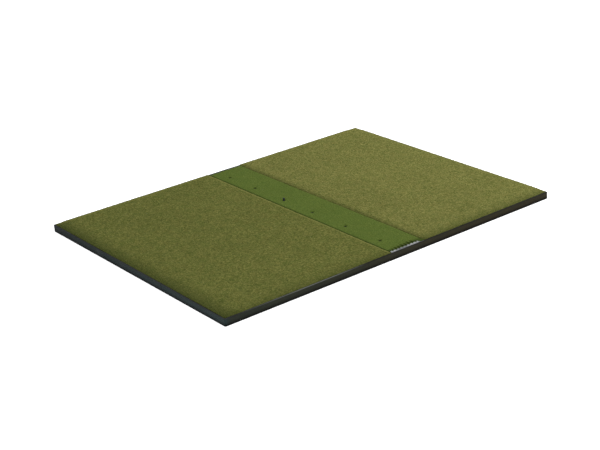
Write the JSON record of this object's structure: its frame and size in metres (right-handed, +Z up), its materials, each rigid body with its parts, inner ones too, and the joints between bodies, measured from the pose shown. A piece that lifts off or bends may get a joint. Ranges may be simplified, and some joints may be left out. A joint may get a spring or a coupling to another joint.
{
  "type": "golf hitting mat",
  "caption": "Large turf practice mat on rubber base tiles, with black edge rails, a lift-out hitting strip, tee holes and a rubber tee.",
  "frame": {"origin": "centre of the underside, on the floor", "axes": "+X along the long side, +Y from the front edge to the back edge, +Z up out of the turf"},
  "size_m": [2.438, 1.829, 0.0545],
  "materials": {
    "base_rubber": "matt moulded recycled rubber with a fine grain",
    "rail_rubber": "satin black extruded rubber",
    "pad_foam": "matt closed-cell foam",
    "turf_backing": "matt latex-coated woven backing",
    "stance_pile": "curled olive-green nylon pile with tan yarns in it",
    "strip_pile": "dense short brighter green nylon pile",
    "strip_foam": "soft closed-cell foam",
    "board_plastic": "black matt polyethylene",
    "end_bar_metal": "satin extruded aluminium",
    "screw_steel": "plain countersunk machine screw",
    "socket_rubber": "black moulded rubber",
    "tee_rubber": "dark navy moulded rubber"
  },
  "bodies": {
    "base": {"base_tile_front_1": "base_rubber", "base_tile_front_2": "base_rubber", "base_tile_front_3": "base_rubber", "base_tile_front_4": "base_rubber", "base_tile_front_5": "base_rubber", "base_tile_middle_1": "base_rubber", "base_tile_middle_2": "base_rubber", "base_tile_middle_3": "base_rubber", "base_tile_middle_4": "base_rubber", "base_tile_middle_5": "base_rubber", "base_tile_back_1": "base_rubber", "base_tile_back_2": "base_rubber", "base_tile_back_3": "base_rubber", "base_tile_back_4": "base_rubber", "base_tile_back_5": "base_rubber", "edge_rail_front_1": "rail_rubber", "edge_rail_front_2": "rail_rubber", "edge_rail_front_3": "rail_rubber", "edge_rail_front_4": "rail_rubber", "edge_rail_front_5": "rail_rubber", "edge_rail_back_1": "rail_rubber", "edge_rail_back_2": "rail_rubber", "edge_rail_back_3": "rail_rubber", "edge_rail_back_4": "rail_rubber", "edge_rail_back_5": "rail_rubber", "edge_rail_left_1": "rail_rubber", "edge_rail_left_2": "rail_rubber", "edge_rail_left_3": "rail_rubber", "edge_rail_right_1": "rail_rubber", "edge_rail_right_2": "rail_rubber", "edge_rail_right_3": "rail_rubber", "stance_pad_left": "pad_foam", "stance_pad_right": "pad_foam", "stance_backing_left": "turf_backing", "stance_backing_right": "turf_backing", "stance_turf_left": "stance_pile", "stance_turf_right": "stance_pile"},
    "strip": {"strip_board": "board_plastic", "strip_end_block_front": "board_plastic", "strip_end_block_back": "board_plastic", "strip_foam": "strip_foam", "strip_backing": "turf_backing", "strip_turf": "strip_pile", "strip_end_bar_front": "end_bar_metal", "strip_end_bar_back": "end_bar_metal", "end_bar_screws_front": "screw_steel", "end_bar_screws_back": "screw_steel", "tee_socket_1": "socket_rubber", "tee_socket_2": "socket_rubber", "tee_socket_3": "socket_rubber", "tee_socket_4": "socket_rubber", "tee_socket_5": "socket_rubber", "tee_socket_6": "socket_rubber"},
    "tee": {"tee": "tee_rubber"}
  },
  "joints": [
    {"name": "strip_lift", "type": "slide", "parent": "base", "child": "strip", "axis": [0, 0, 1], "range_m": [0, 0.12]},
    {"name": "tee_lift", "type": "slide", "parent": "strip", "child": "tee", "axis": [0, 0, 1], "range_m": [0, 0.08]}
  ]
}
